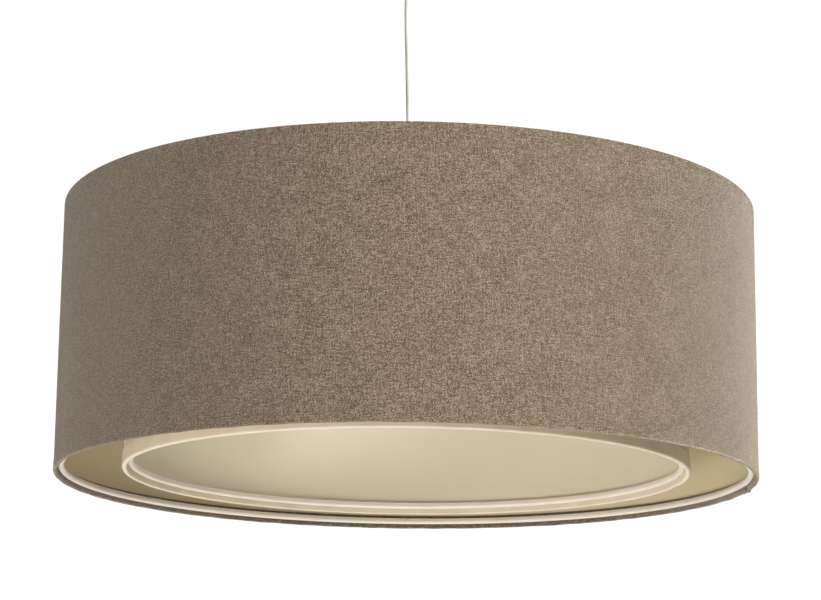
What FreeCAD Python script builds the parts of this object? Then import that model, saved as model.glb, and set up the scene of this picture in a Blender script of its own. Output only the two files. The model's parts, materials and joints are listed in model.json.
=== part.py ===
import FreeCAD, Part
import math
import os
import Sketcher

# A double drum pendant lamp shade. Two fabric drums hang one inside the other on
# one lampholder, and the lampholder hangs on a round cord from a ceiling rose.
# Millimetres, +Z up. The origin is the middle of the ceiling face, so the lamp
# hangs down along -Z. +Y points away from whoever looks at the front.

os.makedirs("parts", exist_ok=True)
doc = FreeCAD.newDocument("double_drum_pendant")

# ---------------------------------------------------------------- sizes

DRIVING_SIZES = [
    # the whole pendant
    ("hang_drop", 510),             # ceiling to the lower edge of the outer drum
    ("swing_clearance", 0.8),       # between a cord end and the tail that it swings by
    # outer drum
    ("outer_radius", 299.6),        # outside of the outer fabric
    ("outer_height", 233),
    ("fabric_wall", 0.8),
    ("lining_wall", 0.8),
    ("hem_bulge", 0.4),             # how far the rolled hem stands out of the wall
    ("hem_wall", 3.6),              # radial thickness of the rolled hem
    ("hem_height", 12),
    ("hem_lip", 4.0),               # hem seen below the outer bottom ring
    # inner drum
    ("inner_radius", 241.2),        # outside of the inner fabric
    ("top_step", 27),               # its top below that of the outer drum
    ("inner_lift", 6.0),            # lower edge above that of the outer drum
    ("tape_wall", 1.3),
    ("tape_round", 1.0),            # rounding of the tape's two lower edges
    ("tape_height", 13),
    ("tape_lip", 4.8),              # tape seen below the inner bottom ring
    # wire frames
    ("bottom_wire", 5.6),           # diameters of the wires
    ("top_wire", 4.0),
    ("spoke_wire", 4.0),
    ("top_edge_inset", 1.0),        # top ring below the upper edge of its drum
    ("fitter_height", 188),         # underside of the lower washer above the lower edge
    ("washer_radius", 36),
    ("washer_clearance", 0.5),      # washer to the barrel of the lampholder, radial
    ("washer_wall", 2.0),
    ("spoke_overlap", 8.0),         # length of a spoke that lies on its washer
    ("spoke_flat", 6.0),            # flat length of a spoke outside its washer
    ("spoke_bend", 12.0),           # radius of the bend in a spoke
    # lampholder
    ("barrel_radius", 19.7),
    ("barrel_wall", 2.2),
    ("barrel_length", 34),          # skirt below the flange
    ("flange_lip", 4.3),            # how far the flange stands out of the barrel
    ("flange_wall", 4.0),
    ("edge_round", 0.8),            # rounding of small moulded edges
    ("cap_height", 40),
    ("cap_wall", 2.0),
    ("cap_skirt", 14),              # upright part of the cap above the flange
    ("cap_shoulder_round", 5.0),
    ("neck_wall", 4.1),             # round the nipple of the grip
    ("neck_length", 12),
    ("neck_flare", 2.0),            # how far the foot of the neck spreads
    ("neck_flare_height", 3.0),
    ("shade_ring_height", 8),
    ("shade_ring_wall", 5.0),
    ("ring_running_gap", 0.3),      # shade ring to barrel, radial
    ("flute_radius", 1.6),
    ("flute_offset", 0.7),          # flute's centre outside the shade ring
    ("flute_stop", 2.0),            # plain rim left above the flutes
    ("insert_height", 10),
    ("insert_recess", 1.0),         # insert below the top of the flange
    ("insert_clearance", 0.1),      # insert to the bore of the barrel
    ("contact_room", 8.0),          # insert to the screw shell, where the contacts are
    ("shell_grip", 3.0),            # how far the insert's collar holds the screw shell
    ("lamp_thread_radius", 13.3),   # inside of the lamp's screw shell
    ("lamp_shell_wall", 0.4),
    ("lamp_shell_length", 18),
    ("contact_wall", 0.8),
    ("contact_width", 5.0),
    ("centre_contact_drop", 5.0),   # its tip below the insert
    ("centre_contact_reach", 3.0),  # from the axis to its upright leg
    ("centre_contact_foot", 10.0),
    ("centre_contact_tip", 7.0),
    ("side_contact_drop", 7.0),
    ("side_contact_inset", 1.4),    # blade inside the thread
    ("side_contact_foot", 3.0),
    ("terminal_screw_radius", 1.8),
    ("terminal_screw_height", 2.2),
    ("terminal_screw_aside", 9.0),
    ("terminal_screw_back", 5.0),
    # cord and its grips
    ("cord_radius", 2.9),
    ("grip_clearance", 0.4),        # bore of the grip to the cord, radial
    ("grip_height", 16),
    ("grip_round", 1.2),
    ("funnel_room", 3.7),           # mouth of the grip to the cord, radial
    ("funnel_rim", 1.9),            # wall of the grip at its mouth
    ("funnel_depth", 8.0),
    ("grip_screw_radius", 1.5),
    ("grip_screw_head", 2.85),
    ("grip_screw_head_height", 2.5),
    ("screw_slot_width", 0.8),
    ("screw_slot_depth", 1.0),
    ("pinch_gap", 0.1),             # grip screw's tip to the cord
    ("nipple_wall", 1.6),
    ("nipple_length", 8.0),
    ("nipple_clearance", 0.1),
    ("nut_rim", 3.1),               # from the nipple to the nut's corners
    ("nut_wall", 3.0),
    # ceiling rose
    ("rose_radius", 50),
    ("rose_height", 26),
    ("rose_wall", 1.0),
    ("rose_corner", 7.0),
    ("bracket_width", 20),
    ("bracket_wall", 2.0),
    ("bracket_ear", 14),
    ("ear_gap", 2.0),               # bracket ear to the wall of the rose, on the middle line
    ("fixing_spacing", 52),         # between the two ceiling screws
    ("fixing_hole_radius", 2.5),
    ("side_screw_radius", 2.0),
    ("side_screw_clearance", 0.1),
    ("side_screw_rise", 5.0),       # above the lower end of the ear
    ("side_screw_head", 3.6),
    ("side_screw_head_height", 2.0),
    ("terminal_length", 26),
    ("terminal_width", 16),
    ("terminal_height", 11),
    ("terminal_well_radius", 2.0),
    ("terminal_well_depth", 8.0),
    ("terminal_well_spacing", 8.0),
]

SPOKE_COUNT = 3
FLUTE_COUNT = 18
OVERCUT = 1.0              # how far a cutting tool runs past the face that it cuts
OUTER_SPOKE_START = 90     # degrees, the first spoke of the outer drum
INNER_SPOKE_START = 30     # half way between the outer ones

# The cord's route from the ceiling rose down to the lampholder. It carries the
# weight, and keeps a slight bow from the coil that it was sold in.
CORD_ROUTE = [
    (0.0, 0.0, -34.0),
    (-2.0, 0.0, -54.0),
    (-3.9, 0.0, -82.0),
    (-2.2, 0.0, -130.0),
    (-0.7, 0.0, -186.0),
    (0.0, 0.0, -230.0),
    (0.0, 0.0, -260.0),
]

# A swept rod whose volume is further off than this has lost its section.
VOLUME_TOLERANCE = 0.005

# An arc of the cord takes up at most this share of the shorter run beside it.
ARC_SHARE = 0.45

sheet = doc.addObject("Spreadsheet::Sheet", "Sizes")
for row, (alias, number) in enumerate(DRIVING_SIZES, start=1):
    sheet.set(f"A{row}", alias)
    sheet.set(f"B{row}", str(number))
    sheet.setAlias(f"B{row}", alias)
doc.recompute()


class Size:
    """A length that carries its value and the sheet formula that gives it."""

    def __init__(self, value, formula):
        self.value = float(value)
        self.formula = formula

    def __add__(self, other):
        other = as_size(other)
        return Size(self.value + other.value, f"({self.formula} + {other.formula})")

    def __sub__(self, other):
        other = as_size(other)
        return Size(self.value - other.value, f"({self.formula} - {other.formula})")

    def __mul__(self, other):
        other = as_size(other)
        return Size(self.value * other.value, f"({self.formula} * {other.formula})")

    def __truediv__(self, other):
        other = as_size(other)
        return Size(self.value / other.value, f"({self.formula} / {other.formula})")

    def __neg__(self):
        return Size(-self.value, f"(0 - {self.formula})")


def as_size(number):
    if isinstance(number, Size):
        return number
    return Size(number, repr(float(number)))


def size(alias):
    return Size(sheet.get(alias), f"Sizes.{alias}")


ZERO = as_size(0)
outer_bottom = -size("hang_drop")
outer_top = outer_bottom + size("outer_height")
inner_bottom = outer_bottom + size("inner_lift")
inner_height = size("outer_height") - size("inner_lift") - size("top_step")
inner_top = inner_bottom + inner_height
washer_bottom = outer_bottom + size("fitter_height")
washer_middle = washer_bottom + size("washer_wall")
washer_top = washer_middle + size("washer_wall")
cap_top = washer_top + size("flange_wall") + size("cap_height")
flange_radius = size("barrel_radius") + size("flange_lip")
grip_bore = size("cord_radius") + size("grip_clearance")
funnel_radius = size("cord_radius") + size("funnel_room")
grip_radius = funnel_radius + size("funnel_rim")
nipple_radius = grip_bore + size("nipple_wall")
neck_radius = nipple_radius + size("neck_wall")
nodes = []


# ---------------------------------------------------------------- helpers

def as_node(thing, name):
    """Name a finished object and put it on the list of pieces to write."""
    thing.Label = name
    nodes.append(thing)
    return thing


def section_sketch(body, name):
    """A sketch on the body's own XZ plane."""
    planes = [item for item in body.Origin.OriginFeatures if item.Role == "XZ_Plane"]
    sketch = body.newObject("Sketcher::SketchObject", name)
    sketch.AttachmentSupport = [(planes[0], "")]
    sketch.MapMode = "FlatFace"
    return sketch


def pin_point(sketch, geometry, end, across, up):
    """Hold one end of a line at a place that the sheet gives."""
    for kind, place, letter in (("DistanceX", across, "x"), ("DistanceY", up, "y")):
        index = sketch.addConstraint(
            Sketcher.Constraint(kind, -1, 1, geometry, end, place.value))
        label = f"{letter}{geometry}"
        sketch.renameConstraint(index, label)
        sketch.setExpression(f"Constraints.{label}", place.formula)


def draw_polygon(sketch, points):
    """A closed outline whose corners all take their places from the sheet."""
    points = [(as_size(across), as_size(up)) for across, up in points]
    count = len(points)
    for index in range(count):
        start = points[index]
        end = points[(index + 1) % count]
        sketch.addGeometry(Part.LineSegment(
            FreeCAD.Vector(start[0].value, start[1].value, 0),
            FreeCAD.Vector(end[0].value, end[1].value, 0)), False)
    for index in range(count):
        sketch.addConstraint(Sketcher.Constraint(
            "Coincident", index, 2, (index + 1) % count, 1))
    for index, (across, up) in enumerate(points):
        pin_point(sketch, index, 1, across, up)


def turned_body(name, points):
    """A PartDesign body: a half section (radius, height) turned about Z."""
    body = doc.addObject("PartDesign::Body", name)
    sketch = section_sketch(body, f"{name}_section")
    draw_polygon(sketch, points)
    turn = body.newObject("PartDesign::Revolution", f"{name}_turn")
    turn.Profile = sketch
    turn.ReferenceAxis = (sketch, ["V_Axis"])
    turn.Angle = 360
    doc.recompute()
    return body


def ring_edges(shape, places, tolerance=0.01):
    """Names of the full circles about Z that lie at the given (radius, height) places."""
    found = []
    for index, edge in enumerate(shape.Edges, start=1):
        if not isinstance(edge.Curve, Part.Circle):
            continue
        for radius, height in places:
            near_radius = abs(edge.Curve.Radius - radius.value) < tolerance
            near_height = abs(edge.Curve.Center.z - height.value) < tolerance
            if near_radius and near_height:
                found.append(f"Edge{index}")
    return found


def round_edges(body, places, radius):
    """Fillet a turned body's circles at (radius, height) places."""
    fillet = body.newObject("PartDesign::Fillet", f"{body.Name}_round_{len(body.Group)}")
    fillet.Base = (body.Group[-2], ring_edges(body.Group[-2].Shape, places))
    fillet.Radius = radius.value
    fillet.setExpression("Radius", radius.formula)
    doc.recompute()


def cylinder(name, radius, bottom, top, across=ZERO, away=ZERO):
    """A Part cylinder along Z between two heights."""
    thing = doc.addObject("Part::Cylinder", name)
    thing.setExpression("Radius", as_size(radius).formula)
    thing.setExpression("Height", (as_size(top) - bottom).formula)
    thing.setExpression("Placement.Base.x", as_size(across).formula)
    thing.setExpression("Placement.Base.y", as_size(away).formula)
    thing.setExpression("Placement.Base.z", as_size(bottom).formula)
    return thing


def side_cylinder(name, radius, start, end, height, away=ZERO):
    """A Part cylinder along X between two distances from the axis."""
    start, end = as_size(start), as_size(end)
    thing = doc.addObject("Part::Cylinder", name)
    thing.Placement = FreeCAD.Placement(
        FreeCAD.Vector(), FreeCAD.Rotation(FreeCAD.Vector(0, 1, 0), 90))
    thing.setExpression("Radius", as_size(radius).formula)
    thing.setExpression("Height", (end - start).formula)
    thing.setExpression("Placement.Base.x", start.formula)
    thing.setExpression("Placement.Base.y", as_size(away).formula)
    thing.setExpression("Placement.Base.z", as_size(height).formula)
    return thing


def block(name, low, high):
    """A Part box between two corners."""
    thing = doc.addObject("Part::Box", name)
    for side, letter, start, end in zip(("Length", "Width", "Height"), "xyz", low, high):
        start, end = as_size(start), as_size(end)
        thing.setExpression(side, (end - start).formula)
        thing.setExpression(f"Placement.Base.{letter}", start.formula)
    return thing


def cut(name, base, tool):
    thing = doc.addObject("Part::Cut", name)
    thing.Base = base
    thing.Tool = tool
    return thing


def join(name, things):
    thing = doc.addObject("Part::MultiFuse", name)
    thing.Shapes = things
    return thing


def group(name, things):
    thing = doc.addObject("Part::Compound", name)
    thing.Links = things
    return thing


def wire_ring(name, ring_radius, wire, height):
    """A round wire bent into a ring about Z."""
    ring = doc.addObject("Part::Torus", name)
    ring.setExpression("Radius1", ring_radius.formula)
    ring.setExpression("Radius2", (wire / 2).formula)
    ring.setExpression("Placement.Base.z", height.formula)
    return as_node(ring, name)


def bent_path(points, corner_radius):
    """Straight runs joined by tangent arcs, one arc for each inner point."""
    edges = []
    start = points[0]
    for here, onward in zip(points[1:-1], points[2:]):
        back = (start - here)
        ahead = (onward - here)
        turn = math.pi - back.getAngle(ahead)
        radius = corner_radius(back.Length, ahead.Length, turn)
        reach = radius * math.tan(turn / 2)
        back.normalize()
        ahead.normalize()
        first = here + back * reach
        last = here + ahead * reach
        inward = (back + ahead).normalize()
        middle = here + inward * (radius / math.cos(turn / 2) - radius)
        edges.append(Part.LineSegment(start, first).toShape())
        edges.append(Part.Arc(first, middle, last).toShape())
        start = last
    edges.append(Part.LineSegment(start, points[-1]).toShape())
    return Part.Wire(edges)


def swept_rod(points, rod_radius, corner_radius):
    """A round rod along straight runs and tangent arcs."""
    path = bent_path(points, corner_radius)
    section = Part.Wire([Part.Circle(points[0], points[1] - points[0], rod_radius).toShape()])
    rod = path.makePipeShell([section], True, True)
    expected = math.pi * rod_radius ** 2 * path.Length
    if abs(rod.Volume / expected - 1) > VOLUME_TOLERANCE:
        raise RuntimeError("a swept rod lost its section on the way")
    return rod, path


# ---------------------------------------------------------------- the two drums

def drum_cloth(name, radius, bottom, top, wall):
    """A fabric wall: a thin tube with its outside at the given radius."""
    body = turned_body(name, [
        (radius - wall, bottom), (radius, bottom), (radius, top), (radius - wall, top)])
    return as_node(body, name)


def make_outer_drum():
    radius = size("outer_radius")
    wall = size("fabric_wall")
    lining_outside = radius - wall
    lining_inside = lining_outside - size("lining_wall")
    hem_outside = radius + size("hem_bulge")
    hem_inside = hem_outside - size("hem_wall")
    hem_top = outer_bottom + size("hem_height")
    corner = size("hem_wall") / 3

    # the cloth comes down the outside, rolls under and is tucked up behind the ring
    cloth = turned_body("outer_fabric", [
        (hem_inside + corner, outer_bottom), (hem_outside - corner, outer_bottom),
        (hem_outside, outer_bottom + corner), (hem_outside, hem_top - corner),
        (radius, hem_top), (radius, outer_top), (lining_outside, outer_top),
        (lining_outside, outer_bottom + corner * 2), (lining_inside, outer_bottom + corner * 2),
        (lining_inside, hem_top), (hem_inside, hem_top), (hem_inside, outer_bottom + corner)])
    as_node(cloth, "outer_fabric")
    drum_cloth("outer_lining", lining_outside, outer_bottom + corner * 2, outer_top,
               size("lining_wall"))

    wire = size("bottom_wire")
    wire_ring("outer_bottom_ring", hem_inside - wire / 2, wire,
              outer_bottom + size("hem_lip") + wire / 2)
    top = size("top_wire")
    return wire_ring("outer_top_ring", lining_inside - top / 2, top,
                     outer_top - size("top_edge_inset") - top / 2)


def make_inner_drum():
    radius = size("inner_radius")
    wall = size("fabric_wall")
    lining_outside = radius - wall
    lining_inside = lining_outside - size("lining_wall")
    tape = size("tape_wall")
    edge = inner_bottom + tape
    tuck_top = inner_bottom + size("hem_height")

    drum_cloth("inner_fabric", radius, edge, inner_top, wall)
    drum_cloth("inner_lining", lining_outside, edge, inner_top, size("lining_wall"))
    # the tape covers the cut edge: up the outside, under, and up the inside behind the ring
    trim = turned_body("inner_trim_tape", [
        (lining_inside - tape, inner_bottom), (radius + tape, inner_bottom),
        (radius + tape, inner_bottom + size("tape_height")),
        (radius, inner_bottom + size("tape_height")), (radius, edge), (lining_inside, edge),
        (lining_inside, tuck_top), (lining_inside - tape, tuck_top)])
    round_edges(trim, [(lining_inside - tape, inner_bottom), (radius + tape, inner_bottom)],
                size("tape_round"))
    as_node(trim, "inner_trim_tape")

    wire = size("bottom_wire")
    wire_ring("inner_bottom_ring", lining_inside - tape - wire / 2, wire,
              inner_bottom + size("tape_lip") + wire / 2)
    top = size("top_wire")
    return wire_ring("inner_top_ring", lining_inside - top / 2, top,
                     inner_top - size("top_edge_inset") - top / 2)


def make_washer(name, bottom):
    """The flat washer that slips over the lampholder."""
    bore = size("barrel_radius") + size("washer_clearance")
    top = bottom + size("washer_wall")
    washer = turned_body(name, [
        (bore, bottom), (size("washer_radius"), bottom), (size("washer_radius"), top), (bore, top)])
    return as_node(washer, name)


def make_spokes(prefix, top_ring, washer, side, first_angle):
    """Spokes from the washer to the top ring; side is +1 on top of the washer, -1 under it."""
    rod = size("spoke_wire").value / 2
    washer_face = washer.Shape.BoundBox.ZMax if side > 0 else washer.Shape.BoundBox.ZMin
    height = washer_face + side * rod
    washer_edge = size("washer_radius").value
    ring_radius = top_ring.Radius1.Value
    ring_height = top_ring.Placement.Base.z
    bend = size("spoke_bend").value
    for number in range(SPOKE_COUNT):
        turn = FreeCAD.Rotation(
            FreeCAD.Vector(0, 0, 1), first_angle + number * 360 / SPOKE_COUNT)
        section = [
            FreeCAD.Vector(washer_edge - size("spoke_overlap").value, 0, height),
            FreeCAD.Vector(washer_edge + size("spoke_flat").value, 0, height),
            FreeCAD.Vector(ring_radius, 0, ring_height)]
        rod_shape, path = swept_rod(
            [turn.multVec(point) for point in section], rod, lambda *corner: bend)
        spoke = doc.addObject("Part::Feature", f"{prefix}_spoke_{number + 1}")
        spoke.Shape = rod_shape.cut(top_ring.Shape).cut(washer.Shape)
        as_node(spoke, f"{prefix}_spoke_{number + 1}")


# ---------------------------------------------------------------- the lampholder

def make_grip(name, shoulder, mouth_up):
    """A cord grip: a nipple, a round body and a funnel that lets the cord lean.

    shoulder is the height where the body meets what it is screwed into. mouth_up is
    +1 where the cord leaves upwards and -1 where it leaves downwards.
    """
    mouth = shoulder + size("grip_height") * mouth_up
    throat = mouth - size("funnel_depth") * mouth_up
    nipple_end = shoulder - size("nipple_length") * mouth_up
    body = turned_body(f"{name}_blank", [
        (grip_bore, nipple_end), (nipple_radius, nipple_end),
        (nipple_radius, shoulder), (grip_radius, shoulder),
        (grip_radius, mouth), (funnel_radius, mouth),
        (grip_bore, throat)])
    round_edges(body, [(grip_radius, mouth)], size("grip_round"))
    hole_height = shoulder + (size("grip_height") - size("funnel_depth")) / 2 * mouth_up
    hole = side_cylinder(f"{name}_screw_hole", size("grip_screw_radius"),
                         grip_bore - OVERCUT, grip_radius + OVERCUT, hole_height)
    as_node(cut(f"{name}_drilled", body, hole), name)

    shank = side_cylinder(f"{name}_screw_shank", size("grip_screw_radius"),
                          size("cord_radius") + size("pinch_gap"), grip_radius, hole_height)
    head_top = grip_radius + size("grip_screw_head_height")
    head = side_cylinder(f"{name}_screw_head", size("grip_screw_head"),
                         grip_radius, head_top, hole_height)
    half_slot = size("screw_slot_width") / 2
    slot_reach = size("grip_screw_head") + OVERCUT
    slot = block(f"{name}_screw_slot",
                 (head_top - size("screw_slot_depth"), -half_slot, hole_height - slot_reach),
                 (head_top + OVERCUT, half_slot, hole_height + slot_reach))
    screw = cut(f"{name}_screw_slotted", join(f"{name}_screw_rod", [shank, head]), slot)
    as_node(screw, f"{name}_screw")
    return throat


def make_tail(name, end, throat, direction):
    """The clamped end of the cord inside a fitting, up to the point where it starts to swing."""
    stop = throat + size("swing_clearance") * direction
    low, high = (end, stop) if end.value < stop.value else (stop, end)
    as_node(cylinder(f"{name}_rod", size("cord_radius"), low, high), name)


def make_holder_shell(flange_top, bore):
    """The barrel that the shades slip over, and the cap screwed on its top."""
    barrel_bottom = washer_top - size("barrel_length")
    barrel = turned_body("holder_barrel", [
        (bore, barrel_bottom), (size("barrel_radius"), barrel_bottom),
        (size("barrel_radius"), washer_top), (flange_radius, washer_top),
        (flange_radius, flange_top), (bore, flange_top)])
    round_edges(barrel, [(size("barrel_radius"), barrel_bottom), (bore, barrel_bottom)],
                size("edge_round"))
    as_node(barrel, "holder_barrel")

    inside = flange_radius - size("cap_wall")
    shoulder = cap_top - size("neck_length")
    slope_start = flange_top + size("cap_skirt")
    cap = turned_body("holder_cap", [
        (inside, flange_top), (flange_radius, flange_top),
        (flange_radius, slope_start),
        (neck_radius + size("neck_flare"), shoulder),
        (neck_radius, shoulder + size("neck_flare_height")),
        (neck_radius, cap_top), (nipple_radius, cap_top),
        (nipple_radius, shoulder), (inside, slope_start - size("cap_wall") / 2)])
    round_edges(cap, [(flange_radius, slope_start)], size("cap_shoulder_round"))
    round_edges(cap, [(neck_radius, cap_top)], size("edge_round"))
    as_node(cap, "holder_cap")


def make_shade_ring():
    """The fluted ring that is screwed up the barrel and clamps both washers."""
    bore = size("barrel_radius") + size("ring_running_gap")
    radius = bore + size("shade_ring_wall")
    bottom = washer_bottom - size("shade_ring_height")
    ring = turned_body("shade_ring_blank", [
        (bore, bottom), (radius, bottom), (radius, washer_bottom), (bore, washer_bottom)])
    round_edges(ring, [(radius, bottom)], size("grip_round"))
    flute = cylinder("shade_ring_flute", size("flute_radius"), bottom - OVERCUT,
                     washer_bottom - size("flute_stop"), radius + size("flute_offset"))
    doc.recompute()
    flutes = doc.addObject("Part::Feature", "shade_ring_flutes")
    flutes.Shape = Part.makeCompound([
        flute.Shape.rotated(FreeCAD.Vector(), FreeCAD.Vector(0, 0, 1), number * 360 / FLUTE_COUNT)
        for number in range(FLUTE_COUNT)])
    as_node(cut("shade_ring_cut", ring, flutes), "shade_ring")


def make_contacts(underside):
    """The two spring strips under the insert: the middle one and the one at the side."""
    wall = size("contact_wall")
    half = size("contact_width") / 2
    leg = -size("centre_contact_reach")
    tip_top = underside - size("centre_contact_drop")
    centre = join("centre_contact_strip", [
        block("centre_contact_base", (leg, -half, underside - wall),
              (leg + size("centre_contact_foot"), half, underside)),
        block("centre_contact_rise", (leg, -half, tip_top), (leg + wall, half, underside)),
        block("centre_contact_spring", (leg, -half, tip_top - wall),
              (leg + size("centre_contact_tip"), half, tip_top))])
    as_node(centre, "centre_contact")

    face = size("lamp_thread_radius") - size("side_contact_inset")
    side = join("side_contact_strip", [
        block("side_contact_base", (-half, face - size("side_contact_foot"), underside - wall),
              (half, face, underside)),
        block("side_contact_blade", (-half, face - wall, underside - size("side_contact_drop")),
              (half, face, underside))])
    as_node(side, "side_contact")


def make_holder_insides(flange_top, bore):
    """The insert with its contacts, screw shell and terminal screws. Returns the insert's top."""
    top = flange_top - size("insert_recess")
    underside = top - size("insert_height")
    shell_top = underside - size("contact_room")
    shell_bottom = shell_top - size("lamp_shell_length")
    shell_inside = size("lamp_thread_radius")
    shell_outside = shell_inside + size("lamp_shell_wall")
    outside = bore - size("insert_clearance")
    collar_bottom = shell_top - size("shell_grip")
    insert = turned_body("holder_insert", [
        (ZERO, underside), (shell_outside, underside), (shell_outside, collar_bottom),
        (outside, collar_bottom), (outside, top), (ZERO, top)])
    as_node(insert, "holder_insert")
    shell = turned_body("lamp_screw_shell", [
        (shell_inside, shell_bottom), (shell_outside, shell_bottom),
        (shell_outside, shell_top), (shell_inside, shell_top)])
    as_node(shell, "lamp_screw_shell")
    make_contacts(underside)
    screws = [
        cylinder(f"terminal_screw_{number}", size("terminal_screw_radius"), top,
                 top + size("terminal_screw_height"), size("terminal_screw_aside") * side,
                 size("terminal_screw_back"))
        for number, side in ((1, -1), (2, 1))]
    as_node(group("holder_terminal_screw_pair", screws), "holder_terminal_screws")
    return top


def make_lampholder():
    flange_top = washer_top + size("flange_wall")
    bore = size("barrel_radius") - size("barrel_wall")
    make_holder_shell(flange_top, bore)
    make_shade_ring()
    insert_top = make_holder_insides(flange_top, bore)
    throat = make_grip("holder_grip", cap_top, 1)
    make_tail("holder_cord_tail", insert_top, throat, -1)
    return throat


# ---------------------------------------------------------------- the ceiling rose

def make_rose_cup(floor, screw_height):
    radius = size("rose_radius")
    inside = radius - size("rose_wall")
    cup_floor = floor + size("rose_wall")
    hole = nipple_radius + size("nipple_clearance")
    cup = turned_body("rose_cup_blank", [
        (hole, floor), (radius, floor), (radius, ZERO),
        (inside, ZERO), (inside, cup_floor), (hole, cup_floor)])
    round_edges(cup, [(radius, floor)], size("rose_corner"))
    round_edges(cup, [(inside, cup_floor)], size("rose_corner") - size("rose_wall"))
    wall_holes = side_cylinder("rose_cup_side_holes", size("side_screw_radius"),
                               -radius - OVERCUT, radius + OVERCUT, screw_height)
    as_node(cut("rose_cup_drilled", cup, wall_holes), "rose_cup")


def make_bracket(ear_reach, screw_height):
    """The strap on the ceiling, with an ear down each side of the rose."""
    half = size("bracket_width") / 2
    thick = size("bracket_wall")
    strip = join("bracket_blank", [
        block("bracket_web", (-ear_reach, -half, -thick), (ear_reach, half, ZERO)),
        block("bracket_ear_left", (-ear_reach, -half, -size("bracket_ear")),
              (-ear_reach + thick, half, ZERO)),
        block("bracket_ear_right", (ear_reach - thick, -half, -size("bracket_ear")),
              (ear_reach, half, ZERO))])
    fixings = [
        cylinder(f"bracket_hole_{number}", size("fixing_hole_radius"), -thick - OVERCUT,
                 ZERO + OVERCUT, size("fixing_spacing") / 2 * side)
        for number, side in ((1, -1), (2, 1))]
    side_holes = side_cylinder("bracket_side_holes", size("side_screw_radius"),
                               -ear_reach - OVERCUT, ear_reach + OVERCUT, screw_height)
    as_node(cut("bracket_drilled", strip, join("bracket_holes", fixings + [side_holes])),
            "ceiling_bracket")


def make_side_screws(ear_reach, screw_height):
    """The two screws that hold the rose's cup to the ears of the bracket."""
    radius = size("rose_radius")
    tip = ear_reach - size("bracket_wall")
    screws = []
    for number, side in ((1, -1), (2, 1)):
        shank = sorted((tip * side, radius * side), key=lambda place: place.value)
        head = sorted((radius * side, (radius + size("side_screw_head_height")) * side),
                      key=lambda place: place.value)
        screws.append(join(f"side_screw_{number}", [
            side_cylinder(f"side_screw_shank_{number}",
                          size("side_screw_radius") - size("side_screw_clearance"),
                          shank[0], shank[1], screw_height),
            side_cylinder(f"side_screw_head_{number}", size("side_screw_head"),
                          head[0], head[1], screw_height)]))
    as_node(group("rose_side_screw_pair", screws), "rose_side_screws")


def make_grip_nut(floor):
    """The nut that holds the rose's grip, inside the cup."""
    nut_bottom = floor + size("rose_wall")
    nut = doc.addObject("Part::Prism", "rose_grip_nut_blank")
    nut.Polygon = 6
    nut.setExpression("Circumradius", (nipple_radius + size("nut_rim")).formula)
    nut.setExpression("Height", size("nut_wall").formula)
    nut.setExpression("Placement.Base.z", nut_bottom.formula)
    hole = cylinder("rose_grip_nut_hole", nipple_radius, nut_bottom - OVERCUT,
                    nut_bottom + size("nut_wall") + OVERCUT)
    as_node(cut("rose_grip_nut_drilled", nut, hole), "rose_grip_nut")


def make_terminal_block():
    """The block where the mains wires meet the cord. Returns the height of its underside."""
    top = -size("bracket_wall")
    bottom = top - size("terminal_height")
    half_length = size("terminal_length") / 2
    half_width = size("terminal_width") / 2
    housing = block("terminal_block_body", (-half_length, -half_width, bottom),
                    (half_length, half_width, top))
    wells = join("terminal_block_wells", [
        side_cylinder(f"terminal_well_{number}", size("terminal_well_radius"),
                      -half_length - OVERCUT, -half_length + size("terminal_well_depth"),
                      bottom + size("terminal_height") / 2,
                      size("terminal_well_spacing") / 2 * side)
        for number, side in ((1, -1), (2, 1))])
    as_node(cut("terminal_block_bored", housing, wells), "terminal_block")
    return bottom


def make_ceiling_rose():
    floor = -size("rose_height")
    ear_reach = size("rose_radius") - size("rose_wall") - size("ear_gap")
    screw_height = size("side_screw_rise") - size("bracket_ear")
    make_rose_cup(floor, screw_height)
    make_bracket(ear_reach, screw_height)
    make_side_screws(ear_reach, screw_height)
    throat = make_grip("rose_grip", floor, -1)
    make_grip_nut(floor)
    block_bottom = make_terminal_block()
    make_tail("rose_cord_tail", block_bottom, throat, 1)
    return throat


# ---------------------------------------------------------------- the cord

def make_cord(upper_throat, lower_throat):
    """The cord hangs from the throat of the rose's grip to that of the lampholder's."""
    points = [FreeCAD.Vector(*point) for point in CORD_ROUTE]
    points[0].z = upper_throat.value
    points[-1].z = lower_throat.value
    radii = []

    def open_radius(back, ahead, turn):
        radius = ARC_SHARE * min(back, ahead) / math.tan(turn / 2)
        radii.append(round(radius))
        return radius

    tube, path = swept_rod(points, size("cord_radius").value, open_radius)
    cord = doc.addObject("Part::Feature", "pendant_cord")
    cord.Shape = tube
    as_node(cord, "pendant_cord")
    print("cord length", round(path.Length, 1), "mm, bend radii", radii, "mm")


outer_top_ring = make_outer_drum()
inner_top_ring = make_inner_drum()
inner_washer = make_washer("inner_fitter_washer", washer_bottom)
outer_washer = make_washer("outer_fitter_washer", washer_middle)
doc.recompute()
make_spokes("outer", outer_top_ring, outer_washer, 1, OUTER_SPOKE_START)
make_spokes("inner", inner_top_ring, inner_washer, -1, INNER_SPOKE_START)
holder_throat = make_lampholder()
rose_throat = make_ceiling_rose()
make_cord(rose_throat, holder_throat)
doc.recompute()

# ---------------------------------------------------------------- checks and files

for thing in doc.Objects:
    if "Invalid" in thing.State or "Error" in thing.State:
        raise RuntimeError(f"{thing.Label} failed: {thing.State}")
for node in nodes:
    if node.Shape.isNull() or not node.Shape.isValid():
        raise RuntimeError(f"{node.Label} has no valid shape")
for node in nodes:
    node.Shape.exportStep(f"parts/{node.Label}.step")
    print(node.Label, "solids", len(node.Shape.Solids), "volume", round(node.Shape.Volume))
print(len(nodes), "nodes written")
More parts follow.
